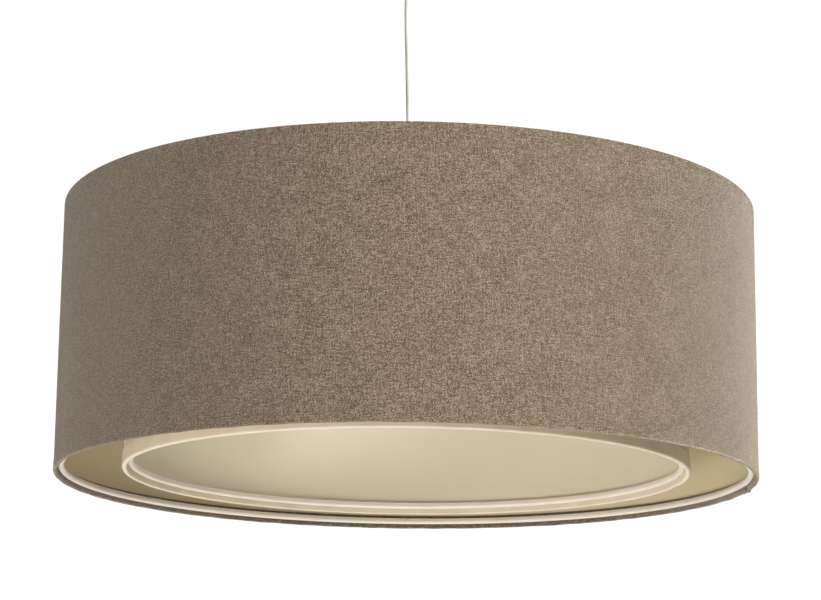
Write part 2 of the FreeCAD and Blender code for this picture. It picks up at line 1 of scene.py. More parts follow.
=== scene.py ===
# %% [markdown]
# # A double drum pendant shade, dressed around its frame
#
# This lesson finishes a lamp that already exists as an engineering model: wire rings, spokes,
# lampholder, cord and ceiling rose. We make what the eye sees: the woven cloth, the satin lining,
# the rolled hem, the tape, the white rings, and the finish of every part. All lengths are metres.

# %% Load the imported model
import json
import math

import bmesh
import bpy
import mathutils
import numpy as np
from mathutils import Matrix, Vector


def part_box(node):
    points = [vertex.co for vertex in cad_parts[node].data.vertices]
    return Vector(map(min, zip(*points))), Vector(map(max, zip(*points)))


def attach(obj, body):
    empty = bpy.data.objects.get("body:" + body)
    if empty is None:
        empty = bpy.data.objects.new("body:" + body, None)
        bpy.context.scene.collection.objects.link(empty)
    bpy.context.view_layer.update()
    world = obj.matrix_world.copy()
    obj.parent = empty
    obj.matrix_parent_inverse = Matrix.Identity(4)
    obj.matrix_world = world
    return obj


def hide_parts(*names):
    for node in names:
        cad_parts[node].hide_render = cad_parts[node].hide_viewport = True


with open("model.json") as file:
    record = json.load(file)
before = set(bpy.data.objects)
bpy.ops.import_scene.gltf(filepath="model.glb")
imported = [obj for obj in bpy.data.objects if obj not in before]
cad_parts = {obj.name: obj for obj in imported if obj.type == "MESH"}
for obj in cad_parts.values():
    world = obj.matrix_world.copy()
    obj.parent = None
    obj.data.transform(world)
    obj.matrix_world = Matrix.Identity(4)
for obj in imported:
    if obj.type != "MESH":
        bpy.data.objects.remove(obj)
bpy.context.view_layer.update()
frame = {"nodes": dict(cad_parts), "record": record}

# %% [markdown]
# ## Where things are
#
# The drums, rings and tape take their places from the boxes of the engineering nodes, so the
# cloth fits its frame by construction. A drum is described by its lower edge, its upper edge and
# its radii.

# %% Read the drums' sizes off the frame
MM = 0.001


def reach_of(node):
    """Lowest height, highest height and outer radius of a round node about the Z axis."""
    low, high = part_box(node)
    return low.z, high.z, max(high.x, high.y)


CLOTH_WALL = 0.7 * MM
outer_bottom, outer_top, outer_hem_radius = reach_of("outer_fabric")
outer_radius = reach_of("outer_lining")[2] + CLOTH_WALL + 0.1 * MM
inner_edge, inner_top, inner_radius = reach_of("inner_fabric")
inner_bottom, tape_top, tape_radius = reach_of("inner_trim_tape")
outer_ring_reach = reach_of("outer_bottom_ring")[2]
inner_ring_reach = reach_of("inner_bottom_ring")[2]
for drum, drum_radius, drum_height in (("outer", outer_radius, outer_top - outer_bottom),
                                       ("inner", inner_radius, inner_top - inner_bottom)):
    print(drum, "drum", round(drum_radius, 4), "m radius,", round(drum_height, 4), "m high")

# %% [markdown]
# ## The camera first
#
# The camera stands low in front of the lamp and looks slightly up into the drums. It is turned a
# little about its own axis, because the lamp hangs a little out of true. Framing a hanging thing
# is easiest when the camera's place is given from the lamp's own lower rim.

# %% Camera below and in front of the lower rim
EYE_BACK = 2160 * MM       # from the drums' axis towards the viewer
EYE_ASIDE = 2 * MM
EYE_DROP = 327 * MM        # below the outer drum's lower edge
LOOK_UP = 12.72            # degrees
LEAN = 0.66                # degrees about the line of sight
LENS = 111.5               # millimetres, on a 36 mm sensor


def aim(look_up, lean):
    """Camera axes as matrix columns (right, up, back) from a tilt above the horizon and a lean."""
    tilt, turn = math.radians(look_up), math.radians(lean)
    back = np.array([0, -math.cos(tilt), -math.sin(tilt)])
    level_up = np.array([0, -math.sin(tilt), math.cos(tilt)])
    level_right = np.array([1.0, 0, 0])
    right = level_right * math.cos(turn) + level_up * math.sin(turn)
    up = level_up * math.cos(turn) - level_right * math.sin(turn)
    return np.stack([right, up, back], axis=1)


lens = bpy.data.cameras.new("camera")
lens.lens = LENS
lens.sensor_width = 36
camera = bpy.data.objects.new("camera", lens)
bpy.context.scene.collection.objects.link(camera)
placed = np.eye(4)
placed[:3, :3] = aim(LOOK_UP, LEAN)
placed[:3, 3] = (EYE_ASIDE, -EYE_BACK, outer_bottom - EYE_DROP)
camera.matrix_world = mathutils.Matrix(placed.tolist())
bpy.context.scene.camera = camera
print("camera at", placed[:3, 3].round(3))

# %% [markdown]
# ## Small tools for surfaces
#
# A drum is a strip of cloth bent round an axis. So one tool does most of the work: it takes an
# outline in a plane through the axis and carries it round. The same tool makes the cloth, the
# linings and the tape.


# %% Put a block of points into a mesh
SHARP_CORNER = math.radians(48)     # an edge that turns more than this is shaded as a corner


def new_piece(name, points, faces, uv=None, fill_ends=False):
    """A mesh object, shaded smooth but for its sharp corners.

    points is (n, 3), faces is (m, 4) and uv holds one pair a point.
    """
    mesh = bpy.data.meshes.new(name)
    mesh.from_pydata(points.tolist(), [], faces.tolist())
    if uv is not None:
        corner = np.zeros(len(mesh.loops), np.int32)
        mesh.loops.foreach_get("vertex_index", corner)
        layer = mesh.uv_layers.new(name="cloth")
        layer.data.foreach_set("uv", uv[corner].astype(np.float32).ravel())
    mesh.polygons.foreach_set("use_smooth", np.ones(len(mesh.polygons), bool))
    mesh.update()
    work = bmesh.new()
    work.from_mesh(mesh)
    if fill_ends:
        bmesh.ops.holes_fill(work, edges=work.edges, sides=0)
    bmesh.ops.recalc_face_normals(work, faces=work.faces)
    work.to_mesh(mesh)
    work.free()
    mesh.set_sharp_from_angle(angle=SHARP_CORNER)
    piece = bpy.data.objects.new(name, mesh)
    bpy.context.scene.collection.objects.link(piece)
    return piece


def block_faces(rows, columns, wrap_rows=False, wrap_columns=False):
    """Quads over a rows x columns block of points.

    A wrapped side joins its last line to its first.
    """
    row = np.arange(rows if wrap_rows else rows - 1)[:, None]
    column = np.arange(columns if wrap_columns else columns - 1)[None, :]
    next_row, next_column = (row + 1) % rows, (column + 1) % columns
    quads = [row * columns + column, row * columns + next_column,
             next_row * columns + next_column, next_row * columns + column]
    block = (len(row), column.shape[1])
    return np.stack([np.broadcast_to(quad, block) for quad in quads], -1).reshape(-1, 4)


# %% Give a line a thickness, and carry it round the axis
def resampled(corners, step):
    """Points about one step apart along a line of corners (n, 2)."""
    corners = np.array(corners, float)
    along = np.concatenate([[0], np.cumsum(np.linalg.norm(np.diff(corners, axis=0), axis=1))])
    at = np.linspace(0, along[-1], max(2, int(along[-1] / step) + 1))
    return np.stack([np.interp(at, along, corners[:, k]) for k in range(2)], axis=1)


def arc(centre, radius, start, end, count):
    """Points on a circle's arc in the section plane; angles in degrees from the outward axis."""
    turn = np.radians(np.linspace(start, end, count))
    return np.stack([centre[0] + radius * np.cos(turn), centre[1] + radius * np.sin(turn)], axis=1)


def thick_outline(line, wall):
    """Both faces of a wall laid on a line: the line moved half a wall along its normal each way.

    Returns the closed outline (2n, 2) and how far along the line each of its points lies.
    """
    ahead = np.gradient(line, axis=0)
    ahead /= np.linalg.norm(ahead, axis=1)[:, None]
    normal = np.stack([ahead[:, 1], -ahead[:, 0]], axis=1)
    along = np.concatenate([[0], np.cumsum(np.linalg.norm(np.diff(line, axis=0), axis=1))])
    outline = np.concatenate([line + normal * wall / 2, (line - normal * wall / 2)[::-1]])
    return outline, np.concatenate([along, along[::-1]])


def carried_round(name, outline, along, turns, shift=None):
    """A solid strip: a closed outline (radius, height) at each angle of turns, with both ends shut.

    A point at angle a is ((r + s) cos a, (r + s) sin a, z + d), where shift(a, r, z) gives s and d.
    The cloth's own map is (a times the mean radius, distance along the outline), both in metres.
    """
    angle = turns[:, None]
    radius = np.broadcast_to(outline[None, :, 0], (len(turns), len(outline))).copy()
    height = np.broadcast_to(outline[None, :, 1], radius.shape).copy()
    if shift is not None:
        sideways, upward = shift(angle, radius, height)
        radius, height = radius + sideways, height + upward
    points = np.stack([radius * np.cos(angle), radius * np.sin(angle), height], -1).reshape(-1, 3)
    faces = block_faces(len(turns), len(outline), wrap_columns=True)
    half = len(outline) // 2
    j = np.arange(half - 1)
    shut = np.stack([j, j + 1, 2 * half - 2 - j, 2 * half - 1 - j], axis=1)
    faces = np.concatenate([faces, shut, shut + (len(turns) - 1) * len(outline)])
    mean_radius = outline[:, 0].mean()
    uv = np.stack([np.broadcast_to(angle * mean_radius, radius.shape),
                   np.broadcast_to(along[None, :], radius.shape)], -1).reshape(-1, 2)
    return new_piece(name, points, faces, uv)


# %% [markdown]
# ## Noise that can be repeated
#
# Real cloth is never perfectly even. A sum of a few sines with seeded phases gives a soft wander
# that comes out the same each time, and closes on itself round the drum.


# %% A soft wander round a drum
def wander(angle, seed, slowest, fastest, count=9):
    """Sum of count sines of whole wave numbers from slowest to fastest, scaled to about -1 to 1."""
    draw = np.random.default_rng(seed)
    waves = draw.integers(slowest, fastest, count)
    phases = draw.uniform(0, 2 * np.pi, count)
    sizes = draw.uniform(0.4, 1, count)
    total = sum(s * np.sin(w * angle + p) for w, p, s in zip(waves, phases, sizes))
    return total / sizes.sum() * 2


# %% [markdown]
# ## The outer drum's cloth
#
# A drum shade's skin is cloth glued on a stiff plastic lining. The maker bends the laminate round
# two wire rings, laps its ends, and rolls the cloth over the rings at both edges. So the cloth is
# one long strip: up behind the bottom ring, round the hem, up the wall, over the top edge and a
# little way down inside. Its end laps over its start, which shows as a fine upright step.

# %% The cloth strip of the outer drum
SEAM = math.radians(6)            # where the laps are, seen at the right-hand side
LAP = 14 * MM                     # how far the end covers the start
STEPS = 760                       # round the drum
LAP_RAMP = 0.35                   # share of a lap in which the end climbs over the start


def strip_turns(radius, lap=LAP, start=SEAM, steps=STEPS):
    """Angles from the seam once round and on over the lap."""
    return np.linspace(start, start + 2 * np.pi + lap / radius, steps)


def lap_rise(angle, radius, thickness, lap=LAP, start=SEAM):
    """How far the strip climbs over its own start: 1.1 thickness (3 t^2 - 2 t^3).

    t goes from 0 to 1 just before the lap, so the step is smooth at both ends.
    """
    past = (angle - (start + 2 * np.pi)) * radius / lap
    t = np.clip(past / LAP_RAMP + 1, 0, 1)
    return thickness * 1.1 * t * t * (3 - 2 * t)


roll_radius = 1.45 * MM           # of the rolled hem
fold_radius = 0.6 * MM            # of the fold over the top edge
HEM_TUCK = 12 * MM                # how high the cloth runs up behind the bottom ring
TOP_TUCK = 13 * MM                # how far it runs down inside the top edge
FINE, COARSE = 1.5 * MM, 9 * MM   # steps along the outline, at the hem and up the wall
wall_line = outer_radius - CLOTH_WALL / 2
tuck_line = outer_ring_reach + 0.45 * MM
hem_centre = (outer_hem_radius - CLOTH_WALL / 2 - roll_radius,
              outer_bottom + CLOTH_WALL / 2 + roll_radius)
top_centre = (wall_line - fold_radius, outer_top - CLOTH_WALL / 2 - fold_radius)
outer_line = np.concatenate([
    resampled([(tuck_line, outer_bottom + HEM_TUCK), (tuck_line, outer_bottom + 4.2 * MM)], FINE),
    arc(hem_centre, roll_radius, 190, 360, 12),
    resampled([(outer_hem_radius - CLOTH_WALL / 2, outer_bottom + 4.5 * MM),
               (wall_line, outer_bottom + 12.5 * MM)], 1.2 * MM),
    resampled([(wall_line, outer_bottom + 15 * MM), (wall_line, outer_top - 3 * MM)], COARSE),
    arc(top_centre, fold_radius, 0, 180, 9),
    resampled([(wall_line - 2 * fold_radius, outer_top - 4 * MM),
               (wall_line - 2 * fold_radius - 0.1 * MM, outer_top - TOP_TUCK)], 2 * FINE)])


WALL_WANDER = 0.35 * MM           # how far the wall strays half way up; nil at the rings
OUTER_SEED, INNER_SEED = 11, 12   # a drum's cloth and lining share a seed, so they stray together


def drum_wander(angle, height, bottom, top, seed):
    """The laminate's slow in and out: depth times sin(pi share of the height) times a wander."""
    share = np.clip((height - bottom) / (top - bottom), 0, 1)
    return WALL_WANDER * np.sin(np.pi * share) * wander(angle, seed, 3, 17)


def outer_cloth_shift(angle, radius, height):
    """Lap, slow wander of the wall, and a puckered hem where the cloth is rolled by hand.

    The hem's share falls in a line from 1 at the edge to 0 at 9 mm above it. Where the lap begins,
    the roll swells and sags as exp(-(d / 4 mm)^2), d from a point 3 mm before the lap.
    """
    near_hem = np.clip(1 - (height - outer_bottom) / (9 * MM), 0, 1)
    pucker = wander(angle, 5, 60, 190, 14)
    into_lap = (angle - (SEAM + 2 * np.pi)) * outer_radius
    lap_roll = np.exp(-((into_lap + 3 * MM) / (4 * MM)) ** 2) * near_hem
    sideways = lap_rise(angle, outer_radius, CLOTH_WALL)
    sideways = sideways + drum_wander(angle, height, outer_bottom, outer_top, OUTER_SEED)
    sideways = sideways + 0.16 * MM * near_hem * pucker + 0.6 * MM * lap_roll
    upward = 0.22 * MM * near_hem * wander(angle, 6, 12, 90, 12)
    return sideways, upward + 0.25 * MM * near_hem - 1.5 * MM * lap_roll


outline, along = thick_outline(outer_line, CLOTH_WALL)
outer_cloth = carried_round("outer_cloth", outline, along, strip_turns(outer_radius),
                            outer_cloth_shift)
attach(outer_cloth, "shades")
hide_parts("outer_fabric")

# %% [markdown]
# ## Linings
#
# The lining is a stiff satin film, cream inside both drums. It ends just short of the rolled
# edges. It has a colour and a sheen of its own, so it is made as a strip of its own. Its lap is
# pressed almost flat, because no step shows inside the real drums.

# %% Two lining strips
LINING_WALL = 0.6 * MM
LINING_LAP_RISE = 0.08 * LINING_WALL


def make_lining(name, node, bottom, top, seed, drum_bottom, drum_top):
    """A plain upright strip inside the cloth, lapped at the seam."""
    reach = reach_of(node)[2] - LINING_WALL / 2 - 0.05 * MM
    line = resampled([(reach, bottom), (reach, top)], COARSE)
    outline, along = thick_outline(line, LINING_WALL)

    def shift(angle, radius, height):
        inward = -lap_rise(angle, reach, LINING_LAP_RISE)
        return inward + drum_wander(angle, height, drum_bottom, drum_top, seed), 0 * height

    piece = carried_round(name, outline, along, strip_turns(reach, steps=480), shift)
    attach(piece, "shades")
    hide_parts(node)
    return piece


outer_lining = make_lining("outer_lining_film", "outer_lining", outer_bottom + 3.5 * MM,
                           outer_top - 3 * MM, OUTER_SEED, outer_bottom, outer_top)
inner_lining = make_lining("inner_lining_film", "inner_lining", inner_edge + 1.0 * MM,
                           inner_top - 3 * MM, INNER_SEED, inner_bottom, inner_top)

# %% [markdown]
# ## The inner drum's cloth and its tape
#
# The inner drum has a plain cream cloth whose cut edge is bound with a flat woven tape. The tape
# runs up the outside, under the edge and up behind the ring, and its end laps over its start.

# %% Cream cloth of the inner drum
inner_line_radius = inner_radius - CLOTH_WALL / 2
inner_fold_centre = (inner_line_radius - fold_radius, inner_top - CLOTH_WALL / 2 - fold_radius)
inner_line = np.concatenate([
    resampled([(inner_line_radius, inner_edge), (inner_line_radius, inner_top - 3 * MM)], COARSE),
    arc(inner_fold_centre, fold_radius, 0, 180, 9),
    resampled([(inner_line_radius - 2 * fold_radius, inner_top - 4 * MM),
               (inner_line_radius - 2 * fold_radius - 0.1 * MM, inner_top - TOP_TUCK)], 2 * FINE)])


def inner_cloth_shift(angle, radius, height):
    """Lap and slow wander, both outwards; nothing moves up or down."""
    rise = lap_rise(angle, inner_radius, CLOTH_WALL)
    return rise + drum_wander(angle, height, inner_bottom, inner_top, INNER_SEED), 0 * height


outline, along = thick_outline(inner_line, CLOTH_WALL)
inner_cloth = carried_round("inner_cloth", outline, along, strip_turns(inner_radius),
                            inner_cloth_shift)
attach(inner_cloth, "shades")
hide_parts("inner_fabric")

# %% Binding tape round the lower edge
TAPE_WALL = 0.9 * MM
TAPE_LAP = 18 * MM
TAPE_SEAM = math.radians(9)
tape_fold = 1.5 * MM
tape_line = tape_radius - TAPE_WALL / 2
tape_back = inner_ring_reach + 0.55 * MM
outer_corner = (tape_line - tape_fold, inner_bottom + TAPE_WALL / 2 + tape_fold)
back_fold = 1.0 * MM
inner_corner = (tape_back + back_fold, inner_bottom + TAPE_WALL / 2 + back_fold)
tape_path = np.concatenate([
    resampled([(inner_radius + TAPE_WALL / 2 + 0.05 * MM, tape_top),
               (tape_line - 0.1 * MM, tape_top - 3 * MM),
               (tape_line, inner_bottom + 3.5 * MM)], FINE),
    arc(outer_corner, tape_fold, 0, -90, 8),
    arc(inner_corner, back_fold, -90, -180, 7),
    resampled([(tape_back, inner_bottom + 3.5 * MM), (tape_back, inner_bottom + HEM_TUCK)], FINE)])


def tape_shift(angle, radius, height):
    """The tape's end lies on its start, and its edge wanders a little.

    The lap goes outwards on the outer face and inwards on the one behind the ring, so its share
    runs in a line from -1 at the back to +1 outside.
    """
    rise = lap_rise(angle, tape_line, TAPE_WALL * 0.8, TAPE_LAP, TAPE_SEAM)
    outside = np.clip((radius - tape_back) / (tape_line - tape_back), 0, 1)
    near_top = np.clip((height - inner_bottom) / (tape_top - inner_bottom), 0, 1) * outside
    pucker = 0.10 * MM * wander(angle, 21, 40, 160, 14)
    upward = 0.3 * MM * near_top * wander(angle, 22, 5, 60, 12)
    return (outside * 2 - 1) * rise * 0.8 + pucker, upward


outline, along = thick_outline(tape_path, TAPE_WALL)
tape = carried_round("binding_tape", outline, along,
                     strip_turns(tape_line, TAPE_LAP, TAPE_SEAM), tape_shift)
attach(tape, "shades")
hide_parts("inner_trim_tape")

# %% [markdown]
# ## White rings
#
# Each ring is a steel wire in a thick white coat, bent round until its two ends meet. The ends
# never meet quite true: there is a hair's gap, and one end sits a little lower than the other.


# %% Rings with a butt joint
def make_ring(name, node, joint, gap=0.9 * MM, drop=0.7 * MM):
    """A round wire bent about Z from one side of its joint round to the other.

    At arc distance d from an end the wire's radius is w sqrt(1 - (1 - d/c)^2) for d under c, so
    each end is rounded; the last end drops by drop exp(-d / 14 mm).
    """
    low, high, reach = reach_of(node)
    wire = (high - low) / 2
    centre_radius, centre_height = reach - wire, (high + low) / 2
    half_gap = gap / 2 / centre_radius
    end_round = 0.8 * MM
    cap = half_gap + end_round * (1 - np.cos(np.linspace(0.15, np.pi / 2, 7))) / centre_radius
    turns = np.concatenate([cap, np.linspace(cap[-1], 2 * np.pi - cap[-1], 1080)[1:-1],
                            2 * np.pi - cap[::-1]])
    from_start = (turns - half_gap) * centre_radius
    from_end = (2 * np.pi - turns - half_gap) * centre_radius
    nearest = np.clip(np.minimum(from_start, from_end) / end_round, 0, 1)
    angle = joint + turns
    evenness = 1 + 0.006 * wander(angle, 31, 20, 90)
    thickness = (wire * np.sqrt(1 - (1 - nearest) ** 2) * evenness)[:, None]
    lowered = (drop * np.exp(-from_end / (14 * MM)))[:, None]
    round_wire = np.linspace(0, 2 * np.pi, 20, endpoint=False)[None, :]
    radius = centre_radius - 0.3 * lowered + thickness * np.cos(round_wire)
    height = centre_height - lowered + thickness * np.sin(round_wire)
    points = np.stack([radius * np.cos(angle)[:, None], radius * np.sin(angle)[:, None],
                       height], -1).reshape(-1, 3)
    faces = block_faces(len(angle), round_wire.shape[1], wrap_columns=True)
    piece = new_piece(name, points, faces, fill_ends=True)
    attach(piece, "shades")
    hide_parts(node)
    print(name, "wire", round(2 * wire / MM, 2), "mm")
    return piece


rings = [make_ring("outer_hem_ring", "outer_bottom_ring", math.radians(4.5)),
         make_ring("inner_hem_ring", "inner_bottom_ring", math.radians(9), drop=0.4 * MM),
         make_ring("outer_crown_ring", "outer_top_ring", math.radians(200)),
         make_ring("inner_crown_ring", "inner_top_ring", math.radians(200))]

# %% [markdown]
# ## The cord
#
# The cord carries the lamp, so it is almost straight; it keeps a slight bow from its coil. Its
# middle line is one smooth NURBS line with the listed points of its route, from the throat
# of the ceiling grip to the throat of the lampholder's grip. The cores are twisted inside the
# sheath and show through it as a very faint long screw.

# %% The cord's middle line
CORD_ROUTE = [(0, 0, -0.034), (-0.002, 0, -0.054), (-0.0039, 0, -0.082), (-0.0022, 0, -0.130),
              (-0.0007, 0, -0.186), (0, 0, -0.230), (0, 0, -0.266)]


def nurbs_line(name, route, steps=24):
    """Points read off the smooth line of order 3 that has the route as its control points."""
    curve = bpy.data.curves.new(name, "CURVE")
    curve.dimensions = "3D"
    curve.resolution_u = steps
    spline = curve.splines.new("NURBS")
    spline.points.add(len(route) - 1)
    for point, place in zip(spline.points, route):
        point.co = (*place, 1)
    spline.order_u = 3
    spline.use_endpoint_u = True
    holder = bpy.data.objects.new(name, curve)
    bpy.context.scene.collection.objects.link(holder)
    mesh = bpy.data.meshes.new_from_object(holder)
    line = np.zeros(3 * len(mesh.vertices), np.float32)
    mesh.vertices.foreach_get("co", line)
    bpy.data.meshes.remove(mesh)
    bpy.data.objects.remove(holder)
    bpy.data.curves.remove(curve)
    return line.reshape(-1, 3).astype(float)


cord_line = nurbs_line("cord_line", CORD_ROUTE)
cord_run = np.concatenate([[0], np.cumsum(np.linalg.norm(np.diff(cord_line, axis=0), axis=1))])
print("cord line", len(cord_line), "points,", round(cord_run[-1], 4), "m long")


# %% The sheath round that line
def tube_round(name, line, run, radius, sides=20, cores=3, twist=42 * MM, show=0.012):
    """A round tube: at run s and turn a its radius is r (1 + show cos(cores a - 2 pi s / twist)).

    The turn is measured from the direction square to both the line and the Y axis.
    """
    ahead = np.gradient(line, axis=0)
    ahead /= np.linalg.norm(ahead, axis=1)[:, None]
    side = np.cross(np.array([0, 1.0, 0])[None, :], ahead)
    side /= np.linalg.norm(side, axis=1)[:, None]
    other = np.cross(ahead, side)
    turn = np.linspace(0, 2 * np.pi, sides, endpoint=False)[None, :]
    out = radius * (1 + show * np.cos(cores * turn - 2 * np.pi * run[:, None] / twist))
    points = (line[:, None, :] + out[:, :, None] * (np.cos(turn)[:, :, None] * side[:, None, :]
                                                    + np.sin(turn)[:, :, None] * other[:, None, :]))
    faces = block_faces(len(line), sides, wrap_columns=True)
    return new_piece(name, points.reshape(-1, 3), faces, fill_ends=True)


cord_low, cord_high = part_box("pendant_cord")
cord_radius = (cord_high.y - cord_low.y) / 2
flex = tube_round("pendant_flex", cord_line, cord_run, cord_radius)
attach(flex, "cord")
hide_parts("pendant_cord")
print("cord", round(2 * cord_radius / MM, 2), "mm thick")

# %% [markdown]
# ## Finishes
#
# Each finish is a small node tree. A few helpers keep them readable: one adds a node, sets its
# values and wires what is handed to it.

# %% Helpers for node trees
class Finish:
    """A material with one Principled shader, and short ways to add and wire nodes."""

    def __init__(self, name, **values):
        self.material = bpy.data.materials.new(name)
        self.material.use_nodes = True
        self.tree = self.material.node_tree
        self.shader = next(n for n in self.tree.nodes if n.type == "BSDF_PRINCIPLED")
        for socket, value in values.items():
            self.shader.inputs[socket.replace("_", " ")].default_value = value

    def add(self, kind, inputs=None, **settings):
        """A node of that kind; inputs maps a socket to a value or to another node's output."""
        node = self.tree.nodes.new(kind)
        for key, value in settings.items():
            setattr(node, key, value)
        for socket, value in (inputs or {}).items():
            if isinstance(value, bpy.types.NodeSocket):
                self.tree.links.new(value, node.inputs[socket])
            else:
                node.inputs[socket].default_value = value
        return node

    def math(self, operation, first, second=0.0, third=0.0):
        """One sum on up to three values."""
        made = self.add("ShaderNodeMath", {0: first, 1: second, 2: third}, operation=operation)
        return made.outputs[0]

    def noise(self, vector, scale, detail=2.0, rough=0.5):
        """Cloudy noise about 0.5, with features about 1 / scale long."""
        made = self.add("ShaderNodeTexNoise", {"Vector": vector, "Scale": scale, "Detail": detail,
                                               "Roughness": rough})
        return made.outputs[0]

    def stretched(self, vector, scale):
        """The vector with each part multiplied by its own scale."""
        made = self.add("ShaderNodeMapping", {"Vector": vector, "Scale": scale})
        return made.outputs[0]

    def ramp(self, value, stops):
        """A colour ramp; stops is a list of (place, colour)."""
        node = self.add("ShaderNodeValToRGB", {0: value})
        while len(node.color_ramp.elements) < len(stops):
            node.color_ramp.elements.new(0.5)
        for element, (place, colour) in zip(node.color_ramp.elements, stops):
            element.position = place
            element.color = (*colour, 1)
        return node.outputs[0]

    def mix(self, share, first, second):
        """The colour (1 - share) first + share second."""
        node = self.add("ShaderNodeMix", data_type="RGBA", blend_type="MIX")
        for index, value in ((0, share), (6, first), (7, second)):
            if isinstance(value, bpy.types.NodeSocket):
                self.tree.links.new(value, node.inputs[index])
            else:
                node.inputs[index].default_value = value if index == 0 else (*value, 1)
        return node.outputs[2]

    def colour(self, socket):
        """Wire the shader's colour."""
        self.tree.links.new(socket, self.shader.inputs["Base Color"])

    def roughness(self, socket):
        """Wire the shader's roughness."""
        self.tree.links.new(socket, self.shader.inputs["Roughness"])

    def bump(self, height, distance):
        """Relief: a height of 1 stands that many metres proud."""
        node = self.add("ShaderNodeBump", {"Height": height, "Distance": distance, "Strength": 1.0})
        self.tree.links.new(node.outputs[0], self.shader.inputs["Normal"])


# %% [markdown]
# ### Woven cloth
#
# In a plain weave each yarn goes over one and under the next. The cloth's own map is in metres,
# so the yarn count is real. Which yarn is on top is the parity of the two yarn numbers; each yarn
# has its own shade, and wanders darker and lighter along its length, which gives the melange.

# %% Taupe melange and cream cloth
YARN_STRIDE = 7.31         # how far apart in the noise two neighbouring yarns read their shade
YARN_DRIFT = 0.26          # how far along the noise a yarn's shade moves at each crossing
SLUB_ALONG, SLUB_ACROSS = 0.11, 0.9    # a slub is about nine yarns long and one yarn wide
FIBRE_SHARE, CLOUD_SHARE, WEFT_SLUB_SHARE, WARP_SLUB_SHARE = 1.25, 0.14, 0.30, 0.28
# painted shade: how far the colour in the low gaps between yarn crossings is darkened
GAP_PAINTED_SHADE = 0.45           # how far the gaps between yarns go towards the darkest tone


def woven(name, pitch, stops, contrast, sheen_tint, relief, seed=0.0):
    """Plain weave: the top yarn is chosen by parity, coloured by its own stretched noise.

    Height = |sin|^0.6 across the yarn times |sin|^0.6 along it, so each crossing is a small
    pillow, and half of the fibre's noise lies on top of it.
    """
    f = Finish(name, Roughness=0.9, Specular_IOR_Level=0.18, Sheen_Weight=0.62,
               Sheen_Roughness=0.36, Sheen_Tint=(*sheen_tint, 1))
    uv = f.add("ShaderNodeUVMap", uv_map="cloth").outputs[0]
    parts = f.add("ShaderNodeSeparateXYZ", {0: uv})
    across = f.math("MULTIPLY", parts.outputs[0], 1 / pitch)
    up = f.math("MULTIPLY", parts.outputs[1], 1 / pitch)
    yarn_x, yarn_y = f.math("FLOOR", across), f.math("FLOOR", up)
    parity = f.math("MODULO", f.math("ADD", yarn_x, yarn_y), 2.0)
    warp_on_top = f.math("GREATER_THAN", f.math("ABSOLUTE", parity), 0.5)
    # each yarn's own shade: noise read at the yarn's number, drifting slowly along the yarn
    warp_at = f.add("ShaderNodeCombineXYZ", {0: f.math("MULTIPLY", yarn_x, YARN_STRIDE),
                                             1: f.math("MULTIPLY", up, YARN_DRIFT),
                                             2: seed}).outputs[0]
    weft_at = f.add("ShaderNodeCombineXYZ", {0: f.math("MULTIPLY", across, YARN_DRIFT),
                                             1: f.math("MULTIPLY", yarn_y, YARN_STRIDE),
                                             2: seed + 9}).outputs[0]
    warp_shade = f.noise(warp_at, 1.0, 3.0, 0.65)
    weft_shade = f.noise(weft_at, 1.0, 3.0, 0.65)
    shade = f.add("ShaderNodeMix", {0: warp_on_top, 2: weft_shade, 3: warp_shade}).outputs[0]
    fibre = f.noise(uv, 1 / (pitch * 0.9), 2.0, 0.6)
    cloud = f.noise(uv, 34.0, 3.0, 0.55)
    # slubs: thick places in the yarn, lying along the weft and along the warp
    slub_long, slub_wide = SLUB_ALONG / pitch, SLUB_ACROSS / pitch
    weft_slub = f.noise(f.stretched(uv, (slub_long, slub_wide, 1.0)), 1.0, 1.0)
    warp_slub = f.noise(f.stretched(uv, (slub_wide, slub_long, 1.0)), 1.0, 1.0)
    for part, share in ((fibre, FIBRE_SHARE), (cloud, CLOUD_SHARE),
                        (weft_slub, WEFT_SLUB_SHARE), (warp_slub, WARP_SLUB_SHARE)):
        shade = f.math("ADD", shade, f.math("MULTIPLY", f.math("SUBTRACT", part, 0.5), share))
    shade = f.math("ADD", f.math("MULTIPLY", f.math("SUBTRACT", shade, 0.5), contrast), 0.5)
    pillow_x = f.math("ABSOLUTE", f.math("SINE", f.math("MULTIPLY", across, math.pi)))
    pillow_y = f.math("ABSOLUTE", f.math("SINE", f.math("MULTIPLY", up, math.pi)))
    pillow = f.math("MULTIPLY", f.math("POWER", pillow_x, 0.6), f.math("POWER", pillow_y, 0.6))
    # painted shade: the colour darkens towards the darkest tone where the pillow height is low,
    # standing in for shade in the gaps between yarns
    f.colour(f.mix(f.math("MULTIPLY", f.math("SUBTRACT", 1.0, pillow), GAP_PAINTED_SHADE),
                   f.ramp(shade, stops), stops[0][1]))
    f.bump(f.math("ADD", pillow, f.math("MULTIPLY", fibre, 0.5)), relief)
    return f.material


taupe_weave = woven("taupe_melange_weave", 1.05 * MM,
                    [(0.18, (0.077, 0.053, 0.031)), (0.5, (0.188, 0.140, 0.094)),
                     (0.85, (0.395, 0.32, 0.24))],
                    1.7, (1.0, 0.90, 0.77), 0.00045)
cream_weave = woven("cream_plain_weave", 0.6 * MM,
                    [(0.1, (0.45, 0.385, 0.26)), (0.5, (0.54, 0.475, 0.34)),
                     (0.9, (0.63, 0.57, 0.43))],
                    0.7, (1, 0.97, 0.9), 0.00008, 3.0)
outer_cloth.data.materials.append(taupe_weave)
inner_cloth.data.materials.append(cream_weave)
print("cloth finishes", taupe_weave.name, cream_weave.name)

# %% [markdown]
# ### Satin lining, ribbed tape, coated wire
#
# The lining is a calendered film: smooth, softly shiny, with a faint upright grain. The tape is a
# fine rib across its width. The rings' coat is a thick, slightly uneven white.


